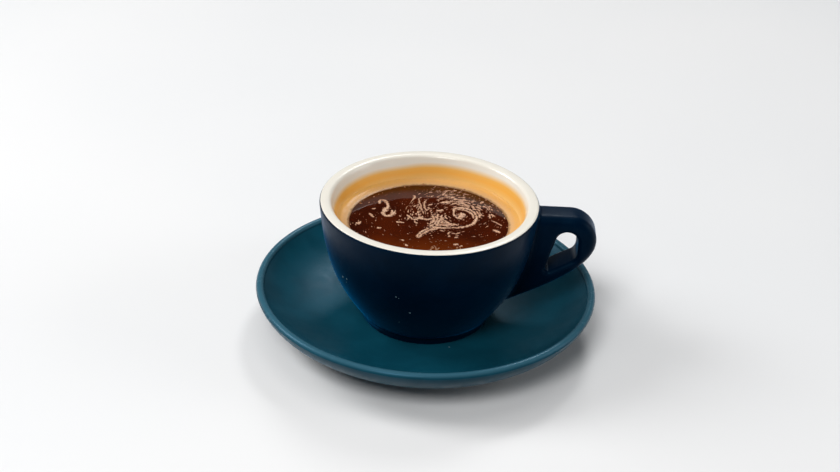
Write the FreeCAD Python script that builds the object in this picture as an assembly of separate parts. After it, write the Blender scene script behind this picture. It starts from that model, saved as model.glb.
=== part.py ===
"""An americano in a thick-walled, two-tone cup with a pierced ear handle, on a deep saucer.

Millimetres, +Z up. The origin is the middle of the saucer's underside, and the handle points along +X.
Depths are measured down from the top of the cup's lip, heights up from the table.
"""

import FreeCAD
import Part
import math
import os

from FreeCAD import Vector

# Saucer: a deep dish with a beaded edge, on a low foot ring
SAUCER_RADIUS = 71.0
SAUCER_HEIGHT = 20.8
SAUCER_EDGE_THICKNESS = 3.4
SAUCER_WELL_HEIGHT = 6.3
SAUCER_WELL_MARGIN = 3.4
SAUCER_FLOOR_THICKNESS = 4.4
SAUCER_FOOT_RADIUS = 41.5
SAUCER_FOOT_WIDTH = 4.2
SAUCER_FOOT_SHOULDER = 0.6
SAUCER_FOOT_ROUND = 0.8

# Cup: the outside, the foot ring and the hollow
CUP_RADIUS = 45.1
CUP_HEIGHT = 53.2
LIP_THICKNESS = 4.6
LIP_OUTER_ROUND = 1.1
LIP_INNER_ROUND = 1.8
CUP_FOOT_RADIUS = 26.6
CUP_FOOT_HEIGHT = 3.7
CUP_FOOT_WIDTH = 3.4
CUP_FOOT_ROUND = 0.8
CUP_FOOT_RECESS = 2.2
CUP_HIP_OVERHANG = 1.0
CUP_FLOOR_THICKNESS = 6.0
BOWL_FLOOR_RADIUS = 7.0

# How far the coffee stands below the lip
COFFEE_DEPTH = 10.6

# Handle: a flat ear with rounded edges, blended into the cup's side
HANDLE_LENGTH = 24.0
HANDLE_WIDTH = 14.0
HANDLE_TOP_DEPTH = 2.5
HANDLE_TOP_ROUND = 11.4
HANDLE_TAIL_RISE = 3.0
HANDLE_EDGE_ROUND = 3.8
HANDLE_TOP_BLEND = 1.2
HANDLE_SIDE_BLEND = 4.5
HANDLE_TAIL_BLEND = 3.0

# Finger hole: a drop, round at the top and drawn out to a point low beside the cup
HOLE_TOP_BAND = 6.6
HOLE_SIDE_BAND = 7.6
HOLE_ROUND = 4.6
HOLE_LOW_RISE = 0.632
HOLE_POINT_ROUND = 1.4
HOLE_POINT_RISE = 0.46
HOLE_WEB = 1.9
HOLE_EDGE_ROUND = 1.8

# Curve shapes, as shares of the way between the two ends of each curve
DISH_START = 0.42
DISH_END = (0.20, 0.62)
UNDERSIDE_START = (0.50, 0.02)
UNDERSIDE_END = (0.06, 0.40)
SIDE_TOP = (0.14, 0.53)
SIDE_HIP = (0.62, 0.30)
CHIN_TOP = (0.0, 0.31)
CHIN_TAIL = (0.67, 0.39)
BOWL_TOP = (0.14, 0.31)
BOWL_BOTTOM = 0.63

# How far a cutter runs past the face that it opens
CUT_ALLOWANCE = 1.0

# Places that follow from those sizes
CUP_BASE = SAUCER_WELL_HEIGHT
LIP_TOP = CUP_BASE + CUP_HEIGHT
CUP_FOOT_TOP = CUP_BASE + CUP_FOOT_HEIGHT
CUP_FOOT_INNER = CUP_FOOT_RADIUS - CUP_FOOT_WIDTH
CUP_UNDERSIDE = CUP_BASE + CUP_FOOT_RECESS
BOWL_RADIUS = CUP_RADIUS - LIP_THICKNESS
BOWL_FLOOR = CUP_UNDERSIDE + CUP_FLOOR_THICKNESS
HANDLE_TOP = LIP_TOP - HANDLE_TOP_DEPTH
HANDLE_REACH = CUP_RADIUS + HANDLE_LENGTH
HANDLE_TAIL = CUP_FOOT_TOP + HANDLE_TAIL_RISE


def at(radius, height):
    """A point of the section through the handle, in the XZ plane."""
    return Vector(radius, 0, height)


def between(start, end, across, up):
    """The point that lies these shares of the way across and up from one point to another."""
    return at(start.x + across * (end.x - start.x), start.z + up * (end.z - start.z))


def line(start, end):
    return Part.LineSegment(start, end).toShape()


def polyline(*points):
    return [line(start, end) for start, end in zip(points, points[1:])]


def bezier(*poles):
    curve = Part.BezierCurve()
    curve.setPoles(list(poles))
    return curve.toShape()


def turned(edges):
    """The solid that a closed section makes, turned once round the Z axis, its seam opposite the handle."""
    solid = Part.Face(Part.Wire(edges)).revolve(Vector(0, 0, 0), Vector(0, 0, 1), 360)
    solid.rotate(Vector(0, 0, 0), Vector(0, 0, 1), 180)
    return solid


def middle_of(edge):
    return edge.valueAt((edge.FirstParameter + edge.LastParameter) / 2)


def circles_at(solid, radius, height):
    """The edges of a turned solid that run round its axis at this radius and height."""
    found = []
    for edge in solid.Edges:
        place = middle_of(edge)
        if abs(math.hypot(place.x, place.y) - radius) < 0.01 and abs(place.z - height) < 0.01:
            found.append(edge)
    return found


def on_skin(place, solid):
    return Part.Vertex(place).distToShape(solid.Shells[0])[0] < 0.001


def saucer():
    underside = SAUCER_WELL_HEIGHT - SAUCER_FLOOR_THICKNESS
    foot_inner = SAUCER_FOOT_RADIUS - SAUCER_FOOT_WIDTH
    edge_height = SAUCER_HEIGHT - SAUCER_EDGE_THICKNESS / 2
    well_edge = at(CUP_FOOT_RADIUS + SAUCER_WELL_MARGIN, SAUCER_WELL_HEIGHT)
    inner_edge = at(SAUCER_RADIUS - SAUCER_EDGE_THICKNESS, edge_height)
    crest = at(SAUCER_RADIUS - SAUCER_EDGE_THICKNESS / 2, SAUCER_HEIGHT)
    outer_edge = at(SAUCER_RADIUS, edge_height)
    foot_top = at(SAUCER_FOOT_RADIUS, underside + SAUCER_FOOT_SHOULDER)

    dish = bezier(well_edge, between(well_edge, inner_edge, DISH_START, 0),
                  between(inner_edge, well_edge, *DISH_END), inner_edge)
    bead = Part.Arc(inner_edge, crest, outer_edge).toShape()
    flank = bezier(outer_edge, between(outer_edge, foot_top, *UNDERSIDE_END),
                   between(foot_top, outer_edge, *UNDERSIDE_START), foot_top)
    base = polyline(foot_top, at(SAUCER_FOOT_RADIUS, 0), at(foot_inner, 0), at(foot_inner, underside),
                    at(0, underside), at(0, SAUCER_WELL_HEIGHT), well_edge)
    solid = turned([dish, bead, flank] + base)
    tread = circles_at(solid, SAUCER_FOOT_RADIUS, 0) + circles_at(solid, foot_inner, 0)
    return solid.makeFillet(SAUCER_FOOT_ROUND, tread)


def bowl_form():
    """The hollow of the cup as a solid, from its floor to just above the lip."""
    lip = at(BOWL_RADIUS, LIP_TOP)
    floor_edge = at(BOWL_FLOOR_RADIUS, BOWL_FLOOR)
    top = LIP_TOP + CUT_ALLOWANCE
    wall = bezier(lip, between(lip, floor_edge, *BOWL_TOP), between(floor_edge, lip, BOWL_BOTTOM, 0), floor_edge)
    return turned([wall] + polyline(floor_edge, at(0, BOWL_FLOOR), at(0, top), at(BOWL_RADIUS, top), lip))


def cup_side():
    """The outside of the cup's wall, from the lip down to the top of the foot."""
    shoulder = at(CUP_RADIUS, LIP_TOP)
    hip = at(CUP_FOOT_RADIUS + CUP_HIP_OVERHANG, CUP_FOOT_TOP)
    return bezier(shoulder, between(shoulder, hip, *SIDE_TOP), between(hip, shoulder, *SIDE_HIP), hip)


def side_radius(height):
    """How far the outside of the wall is from the axis at a height."""
    level = line(at(0, height), at(CUP_RADIUS + HANDLE_LENGTH, height))
    return cup_side().distToShape(level)[1][0][0].x


def cup_block():
    """The cup's outside down to its foot, still solid and without its handle."""
    shoulder = at(CUP_RADIUS, LIP_TOP)
    hip = at(CUP_FOOT_RADIUS + CUP_HIP_OVERHANG, CUP_FOOT_TOP)
    return turned([cup_side()] + polyline(hip, at(0, CUP_FOOT_TOP), at(0, LIP_TOP), shoulder))


def foot_ring():
    """The ring under the cup, with the shallow recess that it encloses."""
    return turned(polyline(at(0, CUP_UNDERSIDE), at(CUP_FOOT_INNER, CUP_UNDERSIDE), at(CUP_FOOT_INNER, CUP_BASE),
                           at(CUP_FOOT_RADIUS, CUP_BASE), at(CUP_FOOT_RADIUS, CUP_FOOT_TOP), at(0, CUP_FOOT_TOP),
                           at(0, CUP_UNDERSIDE)))


def handle_block():
    """The ear without its hole, reaching well inside the cup's wall, its long edges rounded."""
    brow_start = at(HANDLE_REACH - HANDLE_TOP_ROUND, HANDLE_TOP)
    brow_end = at(HANDLE_REACH, HANDLE_TOP - HANDLE_TOP_ROUND)
    halfway = math.sqrt(0.5)
    brow_middle = between(at(brow_start.x, brow_end.z), at(brow_end.x, brow_start.z), halfway, halfway)
    root = at(CUP_FOOT_RADIUS, HANDLE_TOP)
    tail = at(CUP_FOOT_RADIUS, HANDLE_TAIL)

    brow = Part.Arc(brow_start, brow_middle, brow_end).toShape()
    chin = bezier(brow_end, between(brow_end, tail, *CHIN_TOP), between(tail, brow_end, *CHIN_TAIL), tail)
    ear = Part.Face(Part.Wire([line(root, brow_start), brow, chin, line(tail, root)]))
    block = ear.extrude(Vector(0, HANDLE_WIDTH, 0))
    block.translate(Vector(0, -HANDLE_WIDTH / 2, 0))
    long_edges = [edge for edge in block.Edges
                  if edge.BoundBox.YLength < HANDLE_WIDTH / 2 and edge.BoundBox.XLength > CUT_ALLOWANCE]
    return block.makeFillet(HANDLE_EDGE_ROUND, long_edges)


def blended(block, handle):
    """The two joined by a blend that is small under the lip and widens down both sides of the handle."""
    joined = block.fuse(handle).removeSplitter()
    seam = {}
    for number, edge in enumerate(joined.Edges, 1):
        if on_skin(middle_of(edge), block) and on_skin(middle_of(edge), handle):
            seam[number] = [edge.valueAt(edge.FirstParameter).z, edge.valueAt(edge.LastParameter).z]
    lowest = min(height for ends in seam.values() for height in ends)

    def blend_at(height):
        if height > HANDLE_TOP - 2 * HANDLE_EDGE_ROUND:
            return HANDLE_TOP_BLEND
        if height < lowest + 0.1:
            return HANDLE_TAIL_BLEND
        return HANDLE_SIDE_BLEND

    document = FreeCAD.newDocument("blend")
    base = document.addObject("Part::Feature", "joined")
    base.Shape = joined
    blend = document.addObject("Part::Fillet", "blend")
    blend.Base = base
    blend.Edges = [(number, blend_at(first), blend_at(last)) for number, (first, last) in seam.items()]
    document.recompute()
    return blend.Shape.Solids[0].copy()


def wrapped(circles):
    """The closed outline that wraps circles tightly, given anticlockwise as (centre, radius)."""
    runs = []
    for (first, first_radius), (second, second_radius) in zip(circles, circles[1:] + circles[:1]):
        along = second - first
        lean = math.asin((first_radius - second_radius) / along.Length)
        angle = math.atan2(along.z, along.x) - math.pi / 2 + lean
        out = at(math.cos(angle), math.sin(angle))
        runs.append((angle, first + out * first_radius, second + out * second_radius))
    edges = []
    for (centre, radius), before, after in zip(circles, runs[-1:] + runs, runs):
        halfway = before[0] + (after[0] - before[0]) % (2 * math.pi) / 2
        middle = centre + at(math.cos(halfway), math.sin(halfway)) * radius
        edges.append(Part.Arc(before[2], middle, after[1]).toShape())
        edges.append(line(after[1], after[2]))
    return edges


def with_finger_hole(cup_with_ear):
    upper = at(HANDLE_REACH - HOLE_SIDE_BAND - HOLE_ROUND, HANDLE_TOP - HOLE_TOP_BAND - HOLE_ROUND)
    lower = at(upper.x, HANDLE_TAIL + HOLE_LOW_RISE * (HANDLE_TOP - HANDLE_TAIL))
    tip_height = HANDLE_TAIL + HOLE_POINT_RISE * (HANDLE_TOP - HANDLE_TAIL)
    web = HANDLE_SIDE_BLEND + HOLE_WEB + HOLE_EDGE_ROUND
    tip = at(side_radius(tip_height) + web + HOLE_POINT_ROUND, tip_height)
    outline = wrapped([(upper, HOLE_ROUND), (tip, HOLE_POINT_ROUND), (lower, HOLE_ROUND)])
    cutter = Part.Face(Part.Wire(outline)).extrude(Vector(0, 2 * HANDLE_WIDTH, 0))
    cutter.translate(Vector(0, -HANDLE_WIDTH, 0))
    pierced = cup_with_ear.cut(cutter)
    rims = [edge for edge in pierced.Edges
            if on_skin(middle_of(edge), cutter) and on_skin(middle_of(edge), cup_with_ear)]
    return pierced.makeFillet(HOLE_EDGE_ROUND, rims)


def cup():
    solid = with_finger_hole(blended(cup_block(), handle_block()))
    solid = solid.fuse(foot_ring()).cut(Part.makeCylinder(CUP_FOOT_INNER, CUP_FOOT_RECESS, at(0, CUP_BASE)))
    solid = solid.removeSplitter().cut(bowl_form())
    for radius, height, rounding in ((CUP_RADIUS, LIP_TOP, LIP_OUTER_ROUND),
                                     (BOWL_RADIUS, LIP_TOP, LIP_INNER_ROUND),
                                     (CUP_FOOT_RADIUS, CUP_BASE, CUP_FOOT_ROUND),
                                     (CUP_FOOT_INNER, CUP_BASE, CUP_FOOT_ROUND)):
        solid = solid.makeFillet(rounding, circles_at(solid, radius, height))
    return solid.Solids[0]


def coffee():
    """The drink, which fills the bowl up to its level and touches the wall all round."""
    level = LIP_TOP - COFFEE_DEPTH
    return bowl_form().common(Part.makeCylinder(CUP_RADIUS, level)).Solids[0]


os.makedirs("parts", exist_ok=True)
for name, solid in (("saucer", saucer()), ("cup", cup()), ("coffee", coffee())):
    print(f"{name}: valid {solid.isValid()}, {solid.Volume / 1000:.1f} cm3, {len(solid.Faces)} faces")
    solid.exportStep(f"parts/{name}.step")
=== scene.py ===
from math import atan2, cos, exp, hypot, pi, radians, sin, sqrt

import bmesh
import bpy
import numpy as np
from mathutils import Matrix, Vector, noise
from mathutils.bvhtree import BVHTree


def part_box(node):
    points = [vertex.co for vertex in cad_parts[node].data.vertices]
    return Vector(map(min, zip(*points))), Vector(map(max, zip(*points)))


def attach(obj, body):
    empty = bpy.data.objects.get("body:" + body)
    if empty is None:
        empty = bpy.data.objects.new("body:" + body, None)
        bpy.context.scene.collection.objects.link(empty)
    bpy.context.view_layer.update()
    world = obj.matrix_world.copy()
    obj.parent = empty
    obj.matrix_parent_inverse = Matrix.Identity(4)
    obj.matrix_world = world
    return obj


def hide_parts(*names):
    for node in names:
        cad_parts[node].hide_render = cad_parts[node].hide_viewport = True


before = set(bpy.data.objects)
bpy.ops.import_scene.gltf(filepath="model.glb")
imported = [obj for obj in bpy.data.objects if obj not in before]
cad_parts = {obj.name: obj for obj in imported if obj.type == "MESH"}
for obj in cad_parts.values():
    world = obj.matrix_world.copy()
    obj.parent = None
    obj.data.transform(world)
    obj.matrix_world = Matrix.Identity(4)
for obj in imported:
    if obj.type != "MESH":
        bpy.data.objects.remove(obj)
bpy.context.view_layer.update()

# ---------------------------------------------------------------- the saucer
# One pressed porcelain dish with a rounded bead for an edge and a flat well
# for the cup. It is dipped in a dark petrol glaze that fires to a dull satin.

mm = 0.001  # the scene is in metres

GLAZE_CLOUDS = 16 * mm  # how wide the deeper and the pooled patches are
GLAZE_SPECKS = 0.35 * mm
GLAZE_WEAR = 5 * mm
GLAZE_ROUGHNESS = (0.32, 0.41)
GLAZE_EDGE_SMOOTHER = 0.12
GLAZE_RIPPLE = 1.6 * mm
GLAZE_RIPPLE_DEPTH = 0.02 * mm
GLAZE_GRAIN = 0.25 * mm
GLAZE_GRAIN_DEPTH = 0.006 * mm
BEAD_DEPTH = 1.5 * mm  # how far down from the saucer's edge the glaze runs thin and is painted paler, partly as a painted highlight
BEAD_CREST = 0.3 * mm


def shade(red, green, blue):
    """A colour as it looks on a screen, from 0 to 255, in the linear values that shaders use."""
    return tuple((value / 255) ** 2.2 for value in (red, green, blue))


def add(tree, kind, values=None, **settings):
    """A node with its settings, and plain values for some of its inputs."""
    made = tree.nodes.new(kind)
    for name, value in settings.items():
        setattr(made, name, value)
    for name, value in (values or {}).items():
        made.inputs[name].default_value = value
    return made


def mixed(tree, share, first, second):
    """A colour between first and second, each a socket or a plain colour."""
    mix = add(tree, "ShaderNodeMix", data_type="RGBA")
    tree.links.new(share, mix.inputs[0])
    for socket, colour in ((mix.inputs[6], first), (mix.inputs[7], second)):
        if isinstance(colour, bpy.types.NodeSocket):
            tree.links.new(colour, socket)
        else:
            socket.default_value = (*colour, 1)
    return mix.outputs[2]


def ranged(tree, value, start, end, low=0.0, high=1.0):
    """The value eased from low at start to high at end, and held beyond them."""
    made = add(tree, "ShaderNodeMapRange", interpolation_type="SMOOTHSTEP")
    tree.links.new(value, made.inputs["Value"])
    made.inputs["From Min"].default_value = start
    made.inputs["From Max"].default_value = end
    made.inputs["To Min"].default_value = low
    made.inputs["To Max"].default_value = high
    return made.outputs["Result"]


def sums(tree, operation, first, second):
    """One step of arithmetic on two values, each a socket or a plain number."""
    made = add(tree, "ShaderNodeMath", operation=operation)
    for socket, value in zip(made.inputs, (first, second)):
        if isinstance(value, bpy.types.NodeSocket):
            tree.links.new(value, socket)
        else:
            socket.default_value = value
    return made.outputs[0]


def cloud(tree, place, size, detail=2.0, roughness=0.5):
    """Soft noise whose patches are about size across, in metres."""
    made = add(tree, "ShaderNodeTexNoise", {"Scale": 1 / size, "Detail": detail, "Roughness": roughness})
    tree.links.new(place, made.inputs["Vector"])
    return made.outputs["Fac"]


def relief(tree, height, depth, under=None):
    """A bump of this depth in metres, laid over another one."""
    made = add(tree, "ShaderNodeBump", {"Strength": 1.0, "Distance": depth})
    tree.links.new(height, made.inputs["Height"])
    if under:
        tree.links.new(under, made.inputs["Normal"])
    return made.outputs["Normal"]


def surface(name, **values):
    """A material with one main shader. Returns it, its tree, its shader and the place on the piece."""
    made = bpy.data.materials.new(name)
    made.use_nodes = True
    tree = made.node_tree
    tree.nodes.clear()
    shader = add(tree, "ShaderNodeBsdfPrincipled", values)
    end = add(tree, "ShaderNodeOutputMaterial")
    tree.links.new(shader.outputs["BSDF"], end.inputs["Surface"])
    place = add(tree, "ShaderNodeTexCoord").outputs["Object"]
    return made, tree, shader, place


def satin_glaze(name, deep, pooled, thin, thin_from, thin_to, gloss, sheen, sheen_tint):
    """A dull satin glaze, with faint clouds and pits. Towards a height it is thin, smoother and paler; on
    the saucer's bead the paler colour is partly a painted highlight.
    """
    looks = {
        "IOR": 1.5,
        "Specular IOR Level": gloss,
        "Specular Tint": (*shade(110, 170, 210), 1),
        "Sheen Weight": sheen,
        "Sheen Roughness": 0.3,
        "Sheen Tint": (*sheen_tint, 1),
    }
    made, tree, shader, place = surface(name, **looks)
    body = mixed(tree, ranged(tree, cloud(tree, place, GLAZE_CLOUDS), 0.35, 0.65), deep, pooled)
    height = add(tree, "ShaderNodeSeparateXYZ")
    tree.links.new(place, height.inputs[0])
    edge = ranged(tree, height.outputs["Z"], thin_from, thin_to)
    colour = mixed(tree, edge, body, thin)
    speck = ranged(tree, cloud(tree, place, GLAZE_SPECKS, 1.0), 0.68, 0.78, 0.0, 0.35)
    tree.links.new(mixed(tree, speck, colour, thin), shader.inputs["Base Color"])
    worn = ranged(tree, cloud(tree, place, GLAZE_WEAR, 3.0), 0.3, 0.7, *GLAZE_ROUGHNESS)
    smoother = sums(tree, "MULTIPLY", edge, GLAZE_EDGE_SMOOTHER)
    tree.links.new(sums(tree, "SUBTRACT", worn, smoother), shader.inputs["Roughness"])
    ripple = relief(tree, cloud(tree, place, GLAZE_RIPPLE), GLAZE_RIPPLE_DEPTH)
    grain = relief(tree, cloud(tree, place, GLAZE_GRAIN), GLAZE_GRAIN_DEPTH, ripple)
    tree.links.new(grain, shader.inputs["Normal"])
    return made


saucer_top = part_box("saucer")[1][2]
saucer_glaze = satin_glaze(
    "petrol satin glaze",
    deep=shade(17, 64, 79),
    pooled=shade(20, 71, 87),
    # the bead's paler colour: partly thin glaze, partly a painted highlight along the edge
    thin=shade(54, 94, 110),
    gloss=0.25,
    sheen=0.2,
    sheen_tint=shade(40, 130, 165),
    thin_from=saucer_top - BEAD_DEPTH,
    thin_to=saucer_top - BEAD_CREST,
)


def cover(node, material):
    """Gives a node of the frame one finish all over."""
    for slot in bpy.data.objects[node].material_slots:
        slot.material = material


cover("saucer", saucer_glaze)

# ------------------------------------------------------------------- the cup
# One thick slip-cast body with its looped handle. Outside it has the petrol
# satin glaze, and inside and over the lip a glossy warm white, poured first.

GLAZE_LINE_DROP = 0.3 * mm  # how far below the lip's top the white ends, outside
GLAZE_LINE_WANDER = 0.04 * mm
GLAZE_LINE_WAVE = 9 * mm
LIP_GLAZE_THIN = 0.6 * mm  # how far below the lip's top the dark glaze runs thin
BOWL_LOWEST = 14 * mm
LIP_REACH = 43.5 * mm  # wider than any point inside the bowl
INWARD = 0.05  # a face that leans outwards by less than this belongs to the inside
JOIN_REACH = 0.002 * mm
CUT_REACH = 0.0005 * mm

lip_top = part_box("cup")[1][2]


def merged_copy(node, name):
    """A copy of a node's mesh whose loose triangles are joined into one skin."""
    mesh = bpy.data.objects[node].data.copy()
    mesh.name = name
    skin = bmesh.new()
    skin.from_mesh(mesh)
    bmesh.ops.remove_doubles(skin, verts=skin.verts, dist=JOIN_REACH)
    return mesh, skin


def placed(name, data):
    """An object for a mesh, a lamp or a lens, at the origin and in the scene."""
    made = bpy.data.objects.new(name, data)
    bpy.context.scene.collection.objects.link(made)
    return made


def wander(point):
    """How far the hand-poured glaze line lies above or below its mean height, round the lip."""
    return GLAZE_LINE_WANDER * noise.noise(Vector((point.x, point.y, 0)) / GLAZE_LINE_WAVE)


def white_inside(face):
    """True for a face of the bowl or of the top of the lip."""
    middle = face.calc_center_median()
    radius = hypot(middle.x, middle.y)
    if middle.z > lip_top - GLAZE_LINE_DROP + wander(middle):
        return True
    facing = (face.normal.x * middle.x + face.normal.y * middle.y) / max(radius, mm)
    return middle.z > BOWL_LOWEST and radius < LIP_REACH and facing < INWARD


cup_mesh, skin = merged_copy("cup", "cup_glazed")
for vertex in skin.verts:
    vertex.co.z -= wander(vertex.co)
bmesh.ops.bisect_plane(
    skin,
    geom=skin.verts[:] + skin.edges[:] + skin.faces[:],
    dist=CUT_REACH,
    plane_co=(0, 0, lip_top - GLAZE_LINE_DROP),
    plane_no=(0, 0, 1),
)
for vertex in skin.verts:
    vertex.co.z += wander(vertex.co)
for face in skin.faces:
    face.smooth = True
whites = [white_inside(face) for face in skin.faces]
skin.to_mesh(cup_mesh)
skin.free()

STAIN_LEAN = 0.02  # it reaches higher towards the handle, by this much of the way across
STAIN_HEIGHT = 10 * mm
STAIN_WAVE = 30 * mm
STAIN_WANDER = 0.4 * mm
STAIN_COLOURS = (
    # share of the way up from the drink, and the colour there
    (0.00, shade(238, 190, 116)),
    (0.12, shade(238, 182, 98)),
    (0.30, shade(243, 175, 78)),
    (0.55, shade(242, 180, 88)),
    (0.70, shade(238, 206, 156)),
    (0.86, shade(236, 231, 219)),
)
WHITE_WEAR = 4 * mm
WHITE_ROUGHNESS = (0.16, 0.24)
WHITE_RIPPLE = 3 * mm
WHITE_RIPPLE_DEPTH = 0.01 * mm

coffee_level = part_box("coffee")[1][2]


def white_glaze(name):
    """Glossy warm white, stained gold by the crema up to a few millimetres above the drink."""
    made, tree, shader, place = surface(name, **{"IOR": 1.5, "Coat Weight": 0.15, "Coat Roughness": 0.08})
    part = add(tree, "ShaderNodeSeparateXYZ")
    tree.links.new(place, part.inputs[0])
    wave = cloud(tree, place, STAIN_WAVE, 1.0)
    height = sums(tree, "SUBTRACT", part.outputs["Z"], coffee_level)
    height = sums(tree, "ADD", height, ranged(tree, wave, 0.3, 0.7, -STAIN_WANDER, STAIN_WANDER))
    leaning = sums(tree, "MULTIPLY", part.outputs["X"], -STAIN_LEAN)
    up = ranged(tree, sums(tree, "ADD", height, leaning), 0, STAIN_HEIGHT)
    ramp = add(tree, "ShaderNodeValToRGB")
    tree.links.new(up, ramp.inputs["Fac"])
    stops = ramp.color_ramp.elements
    while len(stops) < len(STAIN_COLOURS):
        stops.new(1.0)
    for stop, (share, colour) in zip(stops, STAIN_COLOURS):
        stop.position = share
        stop.color = (*colour, 1)
    tree.links.new(ramp.outputs["Color"], shader.inputs["Base Color"])
    worn = ranged(tree, cloud(tree, place, WHITE_WEAR), 0.3, 0.7, *WHITE_ROUGHNESS)
    tree.links.new(worn, shader.inputs["Roughness"])
    ripple = relief(tree, cloud(tree, place, WHITE_RIPPLE, 1.0), WHITE_RIPPLE_DEPTH)
    tree.links.new(ripple, shader.inputs["Normal"])
    return made


cup_satin = satin_glaze(
    "petrol satin glaze on the cup",
    deep=shade(1, 22, 37),
    pooled=shade(2, 26, 43),
    thin=shade(8, 44, 64),
    gloss=0.1,
    sheen=0.5,
    sheen_tint=shade(0, 105, 165),
    thin_from=lip_top - LIP_GLAZE_THIN,
    thin_to=lip_top,
)
cup_mesh.materials.clear()
cup_mesh.materials.append(cup_satin)
cup_mesh.materials.append(white_glaze("white gloss glaze with a crema stain"))
cup_mesh.polygons.foreach_set("material_index", [int(white) for white in whites])
cup_glazed = placed("cup_glazed", cup_mesh)
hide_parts("cup")
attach(cup_glazed, "root")

# ---------------------------------------------------------------- the coffee
# Espresso let down with hot water. It fills the bowl to a finger's width below
# the lip, and wets the wall, where its surface climbs in a small meniscus.

MENISCUS_RISE = 0.7 * mm
MENISCUS_REACH = 1.1 * mm
INTO_WALL = 0.12 * mm
COFFEE_TURNS = 240
WALL_STEPS = 12
WALL_CROWDING = 1.5  # above 1, the steps lie closer near the bowl's floor
SURFACE_STEPS = 30
SURFACE_CROWDING = 0.8  # below 1, the steps lie closer near the wall
COFFEE_DRIFT = 12 * mm
COFFEE_LIT_FRONT = (-8 * mm, -24 * mm)  # painted light: the drink is painted lighter and more orange from here to here, towards the front
COFFEE_OIL = 0.9 * mm
COFFEE_RIPPLE = 6 * mm
COFFEE_RIPPLE_DEPTH = 0.03 * mm

bowl_shell = BVHTree.FromObject(cup_glazed, bpy.context.evaluated_depsgraph_get())


def wall_radius(height):
    """The bowl's inner radius at a height, measured away from the handle."""
    return -bowl_shell.ray_cast(Vector((0, 0, height)), Vector((-1, 0, 0)))[0].x


def bowl_floor():
    """The height of the bowl's lowest point, on the cup's axis."""
    return bowl_shell.ray_cast(Vector((0, 0, coffee_level)), Vector((0, 0, -1)))[0].z


def turned(name, outline, turns, closed=False):
    """A closed skin from an outline of (radius, height) at each angle, turned about the cup's axis.

    The outline runs upwards on the outside. Its ends lie on the axis, unless it is closed on itself.
    """
    rings = []
    skin = bmesh.new()
    for turn in range(turns):
        angle = 2 * pi * turn / turns
        rings.append([(r * cos(angle), r * sin(angle), z) for r, z in outline(angle)])
    if closed:
        columns = [[skin.verts.new(point) for point in ring] for ring in rings]
    else:
        start = skin.verts.new(rings[0][0])
        end = skin.verts.new(rings[0][-1])
        columns = [[start, *map(skin.verts.new, ring[1:-1]), end] for ring in rings]
    for turn in range(turns):
        here, there = columns[turn], columns[(turn + 1) % turns]
        count = len(here)
        for step in range(count if closed else count - 1):
            after = (step + 1) % count
            corners = []
            for corner in (here[step], there[step], there[after], here[after]):
                if corner not in corners:
                    corners.append(corner)
            skin.faces.new(corners).smooth = True
    mesh = bpy.data.meshes.new(name)
    skin.to_mesh(mesh)
    skin.free()
    return mesh


coffee_radius = wall_radius(coffee_level)


def coffee_top(radius):
    """The height of the drink's surface, which climbs towards the wall."""
    return coffee_level + MENISCUS_RISE * exp((radius - coffee_radius) / MENISCUS_REACH)


def coffee_outline():
    """Up the wall, just inside the glaze, and back across the surface to the axis."""
    floor = bowl_floor() - INTO_WALL
    points = [(0, floor)]
    for step in range(1, WALL_STEPS + 1):
        share = (step / WALL_STEPS) ** WALL_CROWDING
        height = floor + (coffee_level + MENISCUS_RISE - floor) * share
        points.append((wall_radius(max(height, floor + 2 * INTO_WALL)) + INTO_WALL, height))
    rim = points[-1][0]
    for step in range(1, SURFACE_STEPS):
        radius = rim * (1 - step / SURFACE_STEPS) ** SURFACE_CROWDING
        points.append((radius, coffee_top(radius)))
    points.append((0, coffee_level))
    return points


drink_outline = coffee_outline()
coffee_mesh = turned("coffee_drink", lambda angle: drink_outline, COFFEE_TURNS)


def coffee_finish():
    """Dark reddish brown with a clear wet skin, and a trace of fine oil and grounds in it, painted lighter
    towards the front as painted light.
    """
    made, tree, shader, place = surface("black coffee", **{"IOR": 1.33, "Roughness": 0.05})
    part = add(tree, "ShaderNodeSeparateXYZ")
    tree.links.new(place, part.inputs[0])
    drift = ranged(tree, cloud(tree, place, COFFEE_DRIFT, 3.0), 0.3, 0.7)
    colour = mixed(tree, drift, shade(53, 19, 1), shade(70, 26, 2))
    # painted light: the front of the drink is painted lighter and more orange
    lit_front = ranged(tree, part.outputs["Y"], *COFFEE_LIT_FRONT, 0.0, 0.6)
    colour = mixed(tree, lit_front, colour, shade(104, 46, 12))
    oil = ranged(tree, cloud(tree, place, COFFEE_OIL, 3.0, 0.6), 0.60, 0.75, 0.0, 0.5)
    tree.links.new(mixed(tree, oil, colour, shade(104, 50, 18)), shader.inputs["Base Color"])
    ripple = relief(tree, cloud(tree, place, COFFEE_RIPPLE, 1.0), COFFEE_RIPPLE_DEPTH)
    tree.links.new(ripple, shader.inputs["Normal"])
    return made


coffee_mesh.materials.append(coffee_finish())
coffee_drink = placed("coffee_drink", coffee_mesh)
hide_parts("coffee")
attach(coffee_drink, "root")

# ------------------------------------------------------------ the crema ring
# The fine foam of the espresso, pushed out against the wall by the hot water.
# It is thin and grey where it meets the dark drink, and clings to the glaze.

CREMA_INNER = 32.6 * mm
CREMA_THICK = 0.22 * mm
CREMA_SUNK = 0.35 * mm
CREMA_TURNS = 720
CREMA_STEPS = 9
CREMA_WANDER = 0.35 * mm  # how far its inner edge strays
CREMA_WAVES = 5
CREMA_LUMP = 1.2 * mm
CREMA_LUMP_HEIGHT = 0.06 * mm
CREMA_TUCK = 0.05 * mm  # its inner edge dips under the surface
CREMA_INTO_WALL = 4 * INTO_WALL
CREMA_OUTER = wall_radius(coffee_level + MENISCUS_RISE + CREMA_THICK) + CREMA_INTO_WALL


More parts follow.
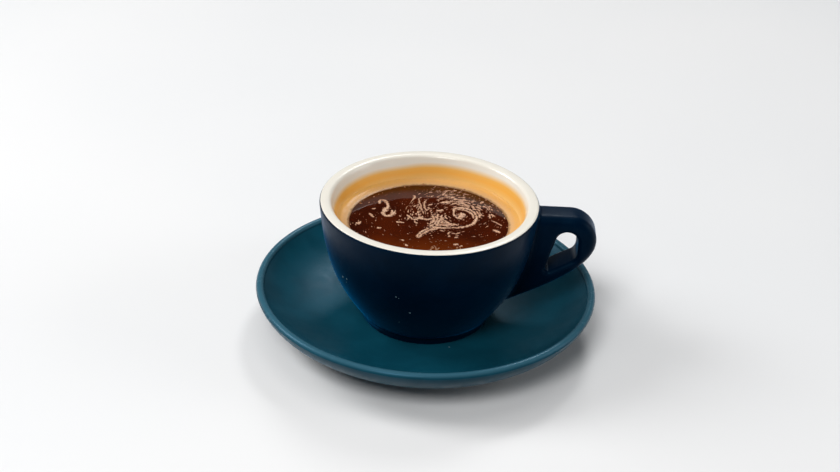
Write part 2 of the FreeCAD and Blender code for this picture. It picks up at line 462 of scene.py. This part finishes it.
def crema_outline(angle):
    """The ring's section at an angle: flat below, and lumpy and domed on top."""
    around = Vector((cos(angle), sin(angle), 0))
    inner = CREMA_INNER + CREMA_WANDER * noise.noise(around * CREMA_WAVES)
    top = []
    for step in range(CREMA_STEPS + 1):
        share = step / CREMA_STEPS
        radius = inner + (CREMA_OUTER - inner) * share
        spot = Vector((radius * cos(angle), radius * sin(angle), 0))
        lump = CREMA_LUMP_HEIGHT * noise.noise(spot / CREMA_LUMP)
        rise = CREMA_THICK * sqrt(min(1, 4 * share)) + lump * min(1, 3 * share)
        top.append((radius, coffee_top(radius) + rise - (CREMA_TUCK if step == 0 else 0)))
    under = coffee_level - CREMA_SUNK
    return [(inner, under), (CREMA_OUTER, under)] + top[::-1]


crema_mesh = turned("crema_ring", crema_outline, CREMA_TURNS, closed=True)


def crema_finish(name, pale, dark, gold, inner, outer):
    """Fine foam, greyer and darker at its thin inner edge, and as golden as the stain at the wall."""
    made, tree, shader, place = surface(name, **{"IOR": 1.4})
    flat = add(tree, "ShaderNodeVectorMath", {1: (1, 1, 0)}, operation="MULTIPLY")
    tree.links.new(place, flat.inputs[0])
    reach = add(tree, "ShaderNodeVectorMath", operation="LENGTH")
    tree.links.new(flat.outputs["Vector"], reach.inputs[0])
    ragged = ranged(tree, cloud(tree, place, 1.5 * mm, 3.0), 0.3, 0.7, -0.25 * mm, 0.25 * mm)
    radius = sums(tree, "ADD", reach.outputs["Value"], ragged)
    colour = mixed(tree, ranged(tree, radius, inner, outer), dark, pale)
    colour = mixed(tree, ranged(tree, radius, outer - 0.4 * mm, coffee_radius), colour, gold)
    holes = ranged(tree, cloud(tree, place, 0.35 * mm, 1.0), 0.62, 0.72, 0.0, 0.45)
    tree.links.new(mixed(tree, holes, colour, dark), shader.inputs["Base Color"])
    tree.links.new(ranged(tree, holes, 0.0, 0.45, 0.25, 0.4), shader.inputs["Roughness"])
    froth = relief(tree, cloud(tree, place, 0.4 * mm, 2.0), 0.05 * mm)
    tree.links.new(froth, shader.inputs["Normal"])
    return made


crema_mesh.materials.append(
    crema_finish(
        "crema",
        pale=shade(212, 168, 116),
        dark=shade(140, 104, 70),
        gold=shade(222, 166, 90),
        inner=CREMA_INNER + 0.2 * mm,
        outer=CREMA_INNER + 1.5 * mm,
    )
)
crema_ring = placed("crema_ring", crema_mesh)
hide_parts("coffee")
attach(crema_ring, "root")

# ----------------------------------------------------------- the foam swirls
# Streaks of pale crema left by the pour, drawn out by the turning drink into
# a curl, a fork and a spiral. Each is a thin raft of bubbles on the surface.

FOAM_CELL = 0.17 * mm
FOAM_HEIGHT = 0.30 * mm
FOAM_SUNK = 0.06 * mm  # the raft's edge under the surface
FOAM_UNDER = 0.10 * mm  # its flat underside
FOAM_EDGE_STEEP = 6  # how fast the raft's edge dips under the surface
FOAM_JOINING = 4  # rounds of joining cells that meet at a corner alone
STREAK_STEP = 0.2
STREAK_ENDS = 0.12  # how far into the taper a streak starts and ends
STREAK_SLIMMEST = 0.12
TEAR_SIZE = 0.85 * mm
TEAR_DEPTH = 0.9
TEAR_SEED = 3.0
TEAR_LOSS = 0.16  # what the tearing takes off the foam everywhere

SWIRLS = (
    # half width, then the places along the streak, in millimetres from the cup's axis
    (0.75, ((-20.9, 14.6), (-20.9, 16.8), (-19.6, 17.6), (-18.2, 16.2), (-17.4, 13.8), (-16.9, 11.4))),
    (1.35, ((-17.2, 12.2), (-18.0, 10.0), (-18.6, 8.0))),
    (0.95, ((-18.9, 8.4), (-19.2, 6.0), (-17.8, 4.2), (-15.8, 4.6), (-14.8, 6.2), (-14.2, 8.2))),
    (0.60, ((-16.0, 6.2), (-15.2, 7.6), (-15.6, 9.0))),
    (0.65, ((-6.6, 22.6), (-6.4, 21.0), (-7.0, 19.0))),
    (0.45, ((-4.6, 20.0), (-4.2, 17.2), (-3.7, 14.4), (-3.3, 10.2))),
    (0.42, ((-1.5, 19.2), (-2.2, 16.6), (-2.0, 13.0), (-1.0, 10.0))),
    (0.52, ((-4.6, 9.2), (-4.3, 6.4), (-3.6, 4.0), (-2.4, 2.8))),
    (0.60, ((-9.0, 5.6), (-7.6, 3.4), (-6.0, 1.8), (-4.4, 2.8))),
    (0.75, ((-5.6, 3.2), (-3.0, 3.0), (-0.6, 2.4), (1.2, 3.4))),
    (0.50, ((1.2, 7.0), (1.8, 5.0), (2.2, 2.8), (1.6, 0.6), (0.4, -1.6))),
    (0.52, ((3.4, 7.4), (3.6, 4.8), (3.4, 2.2), (2.6, -0.4), (1.4, -2.8))),
    (0.52, ((5.2, 6.6), (5.0, 4.2), (4.4, 1.6), (3.8, -1.0), (3.2, -3.4))),
    (0.50, ((5.6, 4.0), (6.6, 1.8), (8.4, 0.2), (10.4, -0.8), (12.2, -1.2))),
    (0.48, ((4.6, 0.8), (6.4, -0.4), (8.6, -1.2), (10.6, -1.4))),
    (0.55, ((4.2, -1.6), (6.2, -1.8), (8.2, -2.4))),
    (0.70, ((0.6, -2.4), (2.4, -4.0), (5.0, -4.2), (8.6, -3.9))),
    (0.45, ((7.6, 4.0), (6.6, 5.4), (7.0, 7.0))),
    (0.62, ((3.6, -4.8), (1.0, -6.0), (-1.2, -8.2), (-3.2, -11.4))),
    (0.55, ((1.0, -4.4), (-1.6, -6.4), (-3.4, -9.0), (-4.6, -12.0))),
    (0.60, ((-4.8, -11.6), (-3.9, -12.7), (-2.8, -11.6))),
    (1.85, ((12.9, 5.9), (13.3, 7.2), (14.0, 8.3))),
    (0.55, ((10.4, 10.2), (10.3, 8.0), (11.4, 5.4), (13.4, 4.3))),
    (0.85, ((10.4, 10.2), (10.2, 12.2), (12.0, 13.6), (14.9, 13.6), (17.6, 12.0), (19.2, 9.4))),
    (0.60, ((12.0, 12.2), (14.4, 12.0), (16.6, 10.6), (17.9, 8.4), (18.4, 5.6))),
    (0.78, ((19.2, 9.4), (19.7, 5.4), (18.4, 1.0), (16.2, -1.4), (13.4, -2.8), (9.8, -3.5))),
    (1.05, ((3.4, 10.2), (5.4, 11.2))),
    (0.90, ((5.0, 17.6), (7.2, 18.4), (9.4, 19.4))),
    (0.70, ((-24.6, 5.4), (-23.9, 4.2), (-23.1, 2.6))),
    (0.95, ((-29.6, -3.2), (-28.6, -3.4), (-28.1, -2.2))),
    (0.65, ((-13.1, -0.7), (-11.6, -0.9), (-10.3, -1.1))),
    (0.70, ((-20.6, -6.2), (-19.6, -6.6))),
    (0.60, ((-23.6, 9.4), (-22.5, 10.0))),
    (0.60, ((-10.7, -15.2), (-10.0, -15.9))),
    (0.60, ((-9.0, -19.2), (-8.0, -20.0))),
    (0.95, ((26.6, -3.8), (27.8, -4.6), (29.0, -5.6))),
    (0.60, ((19.2, 15.4), (21.0, 15.0))),
    (0.70, ((21.4, 18.8), (22.4, 20.0))),
    (0.60, ((25.9, 9.2), (27.1, 7.6))),
    (0.60, ((20.6, 9.6), (21.0, 8.0), (20.9, 6.4))),
    (0.55, ((8.2, -9.0), (8.7, -7.4))),
    (0.50, ((11.2, -8.8), (12.8, -7.4))),
    (0.50, ((8.3, -11.2), (8.7, -10.4))),
    (0.50, ((11.0, -11.6), (11.9, -11.0))),
    (0.70, ((10.6, -17.4), (12.2, -17.2))),
    (0.50, ((12.9, -18.6), (13.6, -18.2))),
    (0.30, ((26.0, 3.8), (28.0, 2.2), (30.0, 0.2))),
)

FILMS = (
    # thinner foam between the streaks: half width, then the places along it
    (2.60, ((2.4, 6.0), (3.4, 2.4), (3.2, -1.0), (2.6, -3.6))),
    (1.70, ((3.4, -0.6), (6.4, -1.0), (9.4, -1.4))),
    (1.40, ((2.6, -4.8), (-0.6, -6.8), (-3.0, -10.4))),
    (0.80, ((10.6, 12.0), (13.6, 13.0), (17.0, 11.2), (18.6, 7.4))),
)
FILM_THICK = 0.14

field_reach = CREMA_INNER + 0.6 * mm
FIELD_COUNT = int(2 * field_reach / FOAM_CELL) + 2
field_places = (np.arange(FIELD_COUNT) - (FIELD_COUNT - 1) / 2) * FOAM_CELL


def smooth_path(points, step):
    """Evenly spaced places on a smooth line through the points."""
    ends = [points[0], *points, points[-1]]
    found = []
    for a, b, c, d in zip(ends, ends[1:], ends[2:], ends[3:]):
        count = max(2, int(hypot(c[0] - b[0], c[1] - b[1]) / step))
        for share in (index / count for index in range(count)):
            found.append(
                tuple(
                    0.5
                    * (
                        2 * q
                        + (r - p) * share
                        + (2 * p - 5 * q + 4 * r - s) * share**2
                        + (3 * q - p - 3 * r + s) * share**3
                    )
                    for p, q, r, s in zip(a, b, c, d)
                )
            )
    return found + [points[-1]]


def paint(field, x, y, half_width, most):
    """Raises the field round one place, to the most there and to 0 at the half width."""
    reach = int(1.6 * half_width / FOAM_CELL) + 1
    column = int(round(x / FOAM_CELL + (FIELD_COUNT - 1) / 2))
    row = int(round(y / FOAM_CELL + (FIELD_COUNT - 1) / 2))
    columns = slice(max(0, column - reach), column + reach + 1)
    rows = slice(max(0, row - reach), row + reach + 1)
    away = np.hypot(field_places[rows, None] - y, field_places[None, columns] - x)
    raised = np.minimum(1 - away / half_width, most)
    field[rows, columns] = np.maximum(field[rows, columns], raised)


def foam_mesh(name, field):
    """A closed raft over the cells where the field is above zero, domed by it and sunk at its edge."""
    dome = FOAM_HEIGHT * np.sqrt(np.clip(field, 0, 1))
    rise = dome + FOAM_SUNK * np.clip(field * FOAM_EDGE_STEEP, -1, 0)
    wanted = field > 0
    wanted = wanted[:-1, :-1] | wanted[1:, :-1] | wanted[:-1, 1:] | wanted[1:, 1:]
    for _ in range(FOAM_JOINING):
        near, right, far, both = wanted[:-1, :-1], wanted[:-1, 1:], wanted[1:, :-1], wanted[1:, 1:]
        right |= near & both & ~right & ~far
        both |= right & far & ~near & ~both
    rows, columns = np.nonzero(wanted)
    corners = [(rows, columns), (rows, columns + 1), (rows + 1, columns + 1), (rows + 1, columns)]
    index = np.stack([r * FIELD_COUNT + c for r, c in corners], 1)
    used, faces = np.unique(index, return_inverse=True)
    faces = faces.reshape(index.shape)
    row, column = np.divmod(used, FIELD_COUNT)
    x, y = field_places[column], field_places[row]
    level = coffee_level + MENISCUS_RISE * np.exp((np.hypot(x, y) - coffee_radius) / MENISCUS_REACH)
    top = np.stack([x, y, level + rise[row, column]], 1)
    under = np.stack([x, y, level - FOAM_UNDER], 1)
    skin = bmesh.new()
    upper = [skin.verts.new(point) for point in top]
    lower = [skin.verts.new(point) for point in under]
    sides = {}
    for face in faces:
        skin.faces.new([upper[i] for i in face]).smooth = True
        skin.faces.new([lower[i] for i in face[::-1]]).smooth = True
        for a, b in zip(face, np.roll(face, -1)):
            sides[(a, b)] = True
    for a, b in sides:
        if (b, a) not in sides:
            skin.faces.new([upper[b], upper[a], lower[a], lower[b]]).smooth = True
    mesh = bpy.data.meshes.new(name)
    skin.to_mesh(mesh)
    skin.free()
    return mesh


def ragged(field, size, depth, seed):
    """Frays the field's edges and opens holes in it, with noise of this size."""
    shift = Vector((seed, 2.7 * seed, 5.1))
    frayed = field.copy()
    for row, column in zip(*np.nonzero(field > -depth)):
        place = Vector((field_places[column], field_places[row], 0)) / size
        frayed[row, column] += depth * noise.fractal(place + shift, 0.8, 2.0, 3)
    return frayed


swirl_field = np.full((FIELD_COUNT, FIELD_COUNT), -1.0)
for streaks, most in ((SWIRLS, 1.0), (FILMS, FILM_THICK)):
    for half_width, points in streaks:
        path = smooth_path(points, STREAK_STEP)
        for index, (x, y) in enumerate(path):
            along = STREAK_ENDS + (1 - 2 * STREAK_ENDS) * index / (len(path) - 1)
            taper = sqrt(max(STREAK_SLIMMEST, sin(pi * along)))
            paint(swirl_field, x * mm, y * mm, half_width * taper * mm, most)
torn_field = ragged(swirl_field, TEAR_SIZE, TEAR_DEPTH, TEAR_SEED) - TEAR_LOSS
swirl_mesh = foam_mesh("foam_swirls", torn_field)


def foam_finish(name, pale, thin):
    """Pinkish beige foam. Where the raft is thin the coffee shows through and darkens it."""
    made, tree, shader, place = surface(name, **{"IOR": 1.4})
    part = add(tree, "ShaderNodeSeparateXYZ")
    tree.links.new(place, part.inputs[0])
    thick = ranged(tree, part.outputs["Z"], coffee_level, coffee_level + 0.75 * FOAM_HEIGHT)
    cells = ranged(tree, cloud(tree, place, 0.5 * mm, 2.0), 0.35, 0.65, 0.55, 1.0)
    colour = mixed(tree, sums(tree, "MULTIPLY", thick, cells), thin, pale)
    tree.links.new(colour, shader.inputs["Base Color"])
    tree.links.new(ranged(tree, cells, 0.55, 1.0, 0.25, 0.45), shader.inputs["Roughness"])
    froth = relief(tree, cloud(tree, place, 0.3 * mm, 2.0), 0.05 * mm)
    tree.links.new(froth, shader.inputs["Normal"])
    return made


foam_look = foam_finish("pale foam", pale=shade(216, 175, 143), thin=shade(104, 54, 26))
swirl_mesh.materials.append(foam_look)
foam_swirls = placed("foam_swirls", swirl_mesh)
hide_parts("coffee")
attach(foam_swirls, "root")

# ----------------------------------------------------------- the foam flecks
# Foam torn into flecks by the turning drink. They lie along rings about the
# eye of the spiral, thick behind and beside it and few towards the front.

EYE = Vector((13.4, 7.1)) * mm
FLECK_LENGTH = 1.8 * mm
FLECK_WIDTH = 0.55 * mm
FLECK_FRAY = 0.5 * mm
FLECK_FRAY_SHARE = 0.35
FLECK_STEEP = 2.2  # how fast a fleck rises from its edge
FLECK_CLEAR = -0.25  # flecks keep this far from the swirls, in the swirls' own field
FLECK_AREAS = (
    # middle x and y, reach and how thick they lie, in millimetres from the cup's axis
    (8.0, 24.0, 9.0, 0.50),
    (22.0, 12.0, 8.0, 0.52),
    (-4.5, 12.0, 6.5, 0.52),
    (14.0, 18.0, 6.0, 0.25),
    (5.0, 3.0, 7.0, 0.34),
    (-7.0, 3.0, 5.0, 0.34),
    (8.0, -10.0, 9.0, 0.22),
)
FLECK_FEW = -0.66  # how bare the drink is away from those areas


def fleck_value(x, y):
    """Above zero inside a fleck: noise stretched along rings about the eye, thinned by place."""
    out = Vector((x, y)) - EYE
    radius = out.length
    angle = atan2(out.y, out.x)
    along = radius / FLECK_LENGTH
    grain = noise.noise(Vector((along * cos(angle), along * sin(angle), radius / FLECK_WIDTH)))
    grain += FLECK_FRAY_SHARE * noise.noise(Vector((x, y, 0)) / FLECK_FRAY)
    value = grain + FLECK_FEW
    for middle_x, middle_y, reach, more in FLECK_AREAS:
        away = hypot(x / mm - middle_x, y / mm - middle_y) / reach
        value += more * exp(-away * away)
    return value


fleck_field = np.full((FIELD_COUNT, FIELD_COUNT), -1.0)
for row, y in enumerate(field_places):
    for column, x in enumerate(field_places):
        if hypot(x, y) < CREMA_INNER:
            fleck_field[row, column] = FLECK_STEEP * fleck_value(x, y)
fleck_field[swirl_field > FLECK_CLEAR] = -1.0
fleck_mesh = foam_mesh("foam_flecks", fleck_field)
fleck_mesh.materials.append(foam_look)
foam_flecks = placed("foam_flecks", fleck_mesh)
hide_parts("coffee")
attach(foam_flecks, "root")

# --------------------------------------------------------------- the bubbles
# Larger bubbles, each a thin brown film over air. They gather along the crema
# and in small groups near the front, where the pour stopped.

BUBBLE_SMALLEST = 0.25 * mm
BUBBLE_LARGEST = 1.0 * mm
BUBBLES_PER_AREA = 0.07 / mm**2
BUBBLE_SEED = 7
BUBBLE_BAND = (CREMA_INNER - 1.6 * mm, CREMA_INNER + 1.4 * mm)
BUBBLE_GROUPS = (
    # x and y in millimetres from the cup's axis, reach, and how much closer they lie than in the band
    (3.1, -20.4, 1.6, 22),
    (12.4, -19.8, 1.4, 12),
    (-8.6, -18.6, 1.1, 8),
    (6.2, -0.4, 2.0, 5),
    (13.4, 7.0, 1.6, 5),
)
BAND_SIDES = 96
GROUP_SIDES = 12
DOME = ((0, -0.12), (0.34, -0.12), (0.5, 0.0), (0.46, 0.2), (0.32, 0.36), (0, 0.44))
DOME_TURNS = 10


def bubble_ground():
    """Flat rings and discs on the drink where bubbles lie, with how crowded each is."""
    ground = bmesh.new()
    crowding = ground.verts.layers.float.new("crowding")
    rings = []
    for radius in BUBBLE_BAND:
        turns = [2 * pi * side / BAND_SIDES for side in range(BAND_SIDES)]
        rings.append([ground.verts.new((radius * cos(a), radius * sin(a), coffee_level)) for a in turns])
    inner, outer = rings
    for here in range(BAND_SIDES):
        after = (here + 1) % BAND_SIDES
        ground.faces.new((inner[here], outer[here], outer[after], inner[after]))
    for vertex in ground.verts:
        vertex[crowding] = 1
    for x, y, reach, closer in BUBBLE_GROUPS:
        place = Matrix.Translation((x * mm, y * mm, coffee_level))
        disc = bmesh.ops.create_circle(
            ground, cap_ends=True, segments=GROUP_SIDES, radius=reach * mm, matrix=place
        )
        for vertex in disc["verts"]:
            vertex[crowding] = closer
    mesh = bpy.data.meshes.new("foam_bubbles")
    ground.to_mesh(mesh)
    ground.free()
    return mesh


def bubble_tree():
    """Scatters bubbles of random size over the ground. Returns the tree and its inputs' identifiers."""
    tree = bpy.data.node_groups.new("bubbles on the drink", "GeometryNodeTree")
    tree.interface.new_socket("Ground", in_out="INPUT", socket_type="NodeSocketGeometry")
    names = {}
    for name, kind in (
        ("Bubble", "NodeSocketObject"),
        ("Per area", "NodeSocketFloat"),
        ("Smallest", "NodeSocketFloat"),
        ("Largest", "NodeSocketFloat"),
        ("Seed", "NodeSocketInt"),
        ("Finish", "NodeSocketMaterial"),
    ):
        names[name] = tree.interface.new_socket(name, in_out="INPUT", socket_type=kind).identifier
    tree.interface.new_socket("Bubbles", in_out="OUTPUT", socket_type="NodeSocketGeometry")
    inputs = add(tree, "NodeGroupInput").outputs
    crowd = add(tree, "GeometryNodeInputNamedAttribute", {"Name": "crowding"}, data_type="FLOAT")
    scatter = add(tree, "GeometryNodeDistributePointsOnFaces", distribute_method="RANDOM")
    tree.links.new(inputs["Ground"], scatter.inputs["Mesh"])
    tree.links.new(sums(tree, "MULTIPLY", crowd.outputs[0], inputs["Per area"]), scatter.inputs["Density"])
    tree.links.new(inputs["Seed"], scatter.inputs["Seed"])
    chance = add(tree, "FunctionNodeRandomValue", data_type="FLOAT")
    tree.links.new(inputs["Seed"], chance.inputs["Seed"])
    few_large = sums(tree, "POWER", chance.outputs[1], 2.0)
    spread = sums(tree, "SUBTRACT", inputs["Largest"], inputs["Smallest"])
    size = sums(tree, "ADD", inputs["Smallest"], sums(tree, "MULTIPLY", spread, few_large))
    shape = add(tree, "GeometryNodeObjectInfo")
    tree.links.new(inputs["Bubble"], shape.inputs["Object"])
    set_down = add(tree, "GeometryNodeInstanceOnPoints")
    tree.links.new(scatter.outputs["Points"], set_down.inputs["Points"])
    tree.links.new(shape.outputs["Geometry"], set_down.inputs["Instance"])
    tree.links.new(size, set_down.inputs["Scale"])
    real = add(tree, "GeometryNodeRealizeInstances")
    tree.links.new(set_down.outputs["Instances"], real.inputs["Geometry"])
    finish = add(tree, "GeometryNodeSetMaterial")
    tree.links.new(real.outputs["Geometry"], finish.inputs["Geometry"])
    tree.links.new(inputs["Finish"], finish.inputs["Material"])
    end = add(tree, "NodeGroupOutput")
    tree.links.new(finish.outputs["Geometry"], end.inputs["Bubbles"])
    return tree, names


def bubble_finish():
    """A thin brown film, clear in the middle and paler round its foot."""
    made, tree, shader, place = surface("bubble film", **{"IOR": 1.36, "Roughness": 0.06})
    part = add(tree, "ShaderNodeSeparateXYZ")
    tree.links.new(place, part.inputs[0])
    high = ranged(tree, part.outputs["Z"], coffee_level, coffee_level + 0.3 * mm)
    tone = mixed(tree, cloud(tree, place, 1.5 * mm, 1.0), shade(190, 146, 108), shade(216, 176, 140))
    tree.links.new(mixed(tree, high, tone, shade(136, 84, 50)), shader.inputs["Base Color"])
    return made


template = placed("bubble", turned("bubble", lambda angle: DOME, DOME_TURNS))
foam_bubbles = placed("foam_bubbles", bubble_ground())
tree, names = bubble_tree()
scatter = foam_bubbles.modifiers.new("bubbles", "NODES")
scatter.node_group = tree
scatter[names["Bubble"]] = template
scatter[names["Per area"]] = BUBBLES_PER_AREA
scatter[names["Smallest"]] = BUBBLE_SMALLEST
scatter[names["Largest"]] = BUBBLE_LARGEST
scatter[names["Seed"]] = BUBBLE_SEED
scatter[names["Finish"]] = bubble_finish()
sight = bpy.context.evaluated_depsgraph_get()
foam_bubbles.update_tag()
sight.update()
blown = bpy.data.meshes.new_from_object(foam_bubbles.evaluated_get(sight))
foam_bubbles.modifiers.clear()
foam_bubbles.data = blown
bpy.data.objects.remove(template)
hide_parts("coffee")
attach(foam_bubbles, "root")

# ----------------------------------------------------------- the drops, with painted glints
# A few small drops on the dark glaze, their pale colour a painted highlight for
# their glints. They lie low on the outside of the cup, left of the front, and one on the saucer.

MARKS = (
    # angle round the cup from the handle, height and width in millimetres
    (-144.9, 35.1, 1.0),
    (-140.6, 35.7, 0.8),
    (-142.4, 33.4, 0.5),
    (-106.2, 36.7, 0.7),
    (-104.6, 36.2, 0.4),
    (-98.6, 28.7, 0.8),
    (-106.7, 21.2, 0.5),
)
SAUCER_MARK = (10.7, -27.4, 0.8)  # x, y and width
MARK_RELIEF = 0.35
CLEAR_OF_CUP = 0.1  # in metres: outside and above everything


def stuck(name, shape, places):
    """Copies of one closed shape at many places, as one mesh."""
    skin = bmesh.new()
    for matrix in places:
        copy = shape.copy()
        copy.transform(matrix)
        skin.from_mesh(copy)
        bpy.data.meshes.remove(copy)
    mesh = bpy.data.meshes.new(name)
    skin.to_mesh(mesh)
    skin.free()
    return mesh


def against(shell, start, toward, width):
    """Where a mark of this width sits, flat on the skin that a line from start meets."""
    spot, normal = shell.ray_cast(Vector(start), Vector(toward))[:2]
    turn = normal.to_track_quat("Z", "Y").to_matrix().to_4x4()
    return Matrix.Translation(spot) @ turn @ Matrix.Diagonal((width, width, width * MARK_RELIEF, 1))


saucer_shell = BVHTree.FromObject(bpy.data.objects["saucer"], bpy.context.evaluated_depsgraph_get())
mark_places = []
for angle, height, width in MARKS:
    out = Vector((cos(radians(angle)), sin(radians(angle)), 0))
    start = out * CLEAR_OF_CUP + Vector((0, 0, height * mm))
    mark_places.append(against(bowl_shell, start, -out, width * mm))
x, y, width = SAUCER_MARK
mark_places.append(against(saucer_shell, (x * mm, y * mm, CLEAR_OF_CUP), (0, 0, -1), width * mm))
mark_shape = turned("mark", lambda angle: DOME, DOME_TURNS)
dried_marks = placed("dried_marks", stuck("dried_marks", mark_shape, mark_places))
mark_look, tree, shader, place = surface("drops with painted glints", **{"IOR": 1.4})
patchy = ranged(tree, cloud(tree, place, 0.4 * mm, 2.0), 0.35, 0.65)
# the pale colour is a painted highlight, standing for the glints of the drops
tree.links.new(mixed(tree, patchy, shade(120, 140, 146), shade(64, 88, 100)), shader.inputs["Base Color"])
tree.links.new(ranged(tree, patchy, 0.0, 1.0, 0.5, 0.25), shader.inputs["Roughness"])
dried_marks.data.materials.append(mark_look)
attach(dried_marks, "root")

# ----------------------------------------------------------- floor and light
# A plain pale table top. The main soft lights stand high at the left and in
# front, with weaker ones at the right, above and behind. The room is dim all
# round, and a little less so at its sides, so that the glazes mirror little.

FLOOR_REACH = 4.0
TABLE_DROP = 0.05 * mm
FLOOR_BOUNCE = (0.22, 0.22, 0.23)  # what the floor throws back up at the object
FLOOR_PATCHES = 0.3

LIT_PLACE = (0, 0, 0.03)
LIGHTS = (
    # name, place, size and power
    ("left_light", (-1.05, 0.25, 0.85), 0.6, 10.5),
    ("right_light", (1.2, 0.0, 0.45), 0.6, 3.5),
    ("top_light", (-0.15, 0.15, 1.6), 0.9, 4),
    ("front_light", (-0.35, -1.0, 1.2), 0.6, 13),
    ("back_light", (0.22, 1.0, 1.1), 0.3, 5),
)
ROOM_LOW = (0.2, 0.21, 0.23)
ROOM_SIDES = (0.4, 0.42, 0.45)
ROOM_HIGH = (0.035, 0.035, 0.036)

floor_mesh = bpy.data.meshes.new("table_top")
floor_mesh.from_pydata(
    [
        (-FLOOR_REACH, -FLOOR_REACH, -TABLE_DROP),
        (FLOOR_REACH, -FLOOR_REACH, -TABLE_DROP),
        (FLOOR_REACH, FLOOR_REACH, -TABLE_DROP),
        (-FLOOR_REACH, FLOOR_REACH, -TABLE_DROP),
    ],
    [],
    [(0, 1, 2, 3)],
)
floor_look, floor_tree, floor_shader, floor_place = surface("pale table", **{"Roughness": 0.7})
floor_tone = ranged(floor_tree, cloud(floor_tree, floor_place, FLOOR_PATCHES), 0.3, 0.7)
floor_colour = mixed(floor_tree, floor_tone, shade(230, 231, 232), shade(235, 235, 235))
seen = add(floor_tree, "ShaderNodeLightPath").outputs
seen_plain = sums(floor_tree, "MAXIMUM", seen["Is Camera Ray"], seen["Is Glossy Ray"])
seen_plain = sums(floor_tree, "MAXIMUM", seen_plain, seen["Is Transmission Ray"])
floor_shown = mixed(floor_tree, seen_plain, FLOOR_BOUNCE, floor_colour)
floor_tree.links.new(floor_shown, floor_shader.inputs["Base Color"])
floor_mesh.materials.append(floor_look)
table_top = placed("table_top", floor_mesh)


def soft_light(name, place, size, power):
    """A square soft light, turned from its place towards the cup."""
    lamp = bpy.data.lights.new(name, "AREA")
    lamp.size = size
    lamp.energy = power
    made = placed(name, lamp)
    made.location = place
    made.rotation_euler = (Vector(LIT_PLACE) - Vector(place)).to_track_quat("-Z", "Y").to_euler()


for light in LIGHTS:
    soft_light(*light)

world = bpy.data.worlds.new("studio")
bpy.context.scene.world = world
world.use_nodes = True
room = world.node_tree
toward = add(room, "ShaderNodeTexCoord").outputs["Generated"]
slope = add(room, "ShaderNodeSeparateXYZ")
room.links.new(toward, slope.inputs[0])
sideways = sums(room, "ABSOLUTE", slope.outputs["X"], 0.0)
low = mixed(room, ranged(room, sideways, 0.3, 0.9), ROOM_LOW, ROOM_SIDES)
walls = mixed(room, ranged(room, slope.outputs["Z"], 0.12, 0.40), low, ROOM_HIGH)
room.links.new(walls, room.nodes["Background"].inputs["Color"])
room.nodes["Background"].inputs["Strength"].default_value = 1.0

# ---------------------------------------------------------------- the camera
# It looks down across the cup from the front, with the handle to the right,
# turned a little off the lip's middle and rolled a little to one side.

CAMERA_DISTANCE = 721.5 * mm
CAMERA_RISE = radians(28.28)
CAMERA_TURN = radians(-0.262)
CAMERA_TILT = radians(-1.183)
CAMERA_ROLL = radians(2.64)
LENS = 75.7

target = Vector((0, 0, lip_top))
offset = Vector((0, -cos(CAMERA_RISE), sin(CAMERA_RISE))) * CAMERA_DISTANCE
facing = -offset.normalized()
right = Vector((1, 0, 0))
upward = right.cross(facing)
aim = facing * cos(CAMERA_TURN) + right * sin(CAMERA_TURN)
aim = aim * cos(CAMERA_TILT) + upward * sin(CAMERA_TILT)
across = aim.cross(upward).normalized()
over = across.cross(aim)
side = across * cos(CAMERA_ROLL) + over * sin(CAMERA_ROLL)
over = over * cos(CAMERA_ROLL) - across * sin(CAMERA_ROLL)

lens = bpy.data.cameras.new("camera")
lens.lens = LENS
camera = placed("camera", lens)
turned_to = Matrix((side, over, -aim)).transposed().to_4x4()
camera.matrix_world = Matrix.Translation(target + offset) @ turned_to
bpy.context.scene.camera = camera
bpy.context.scene.view_settings.view_transform = "Standard"
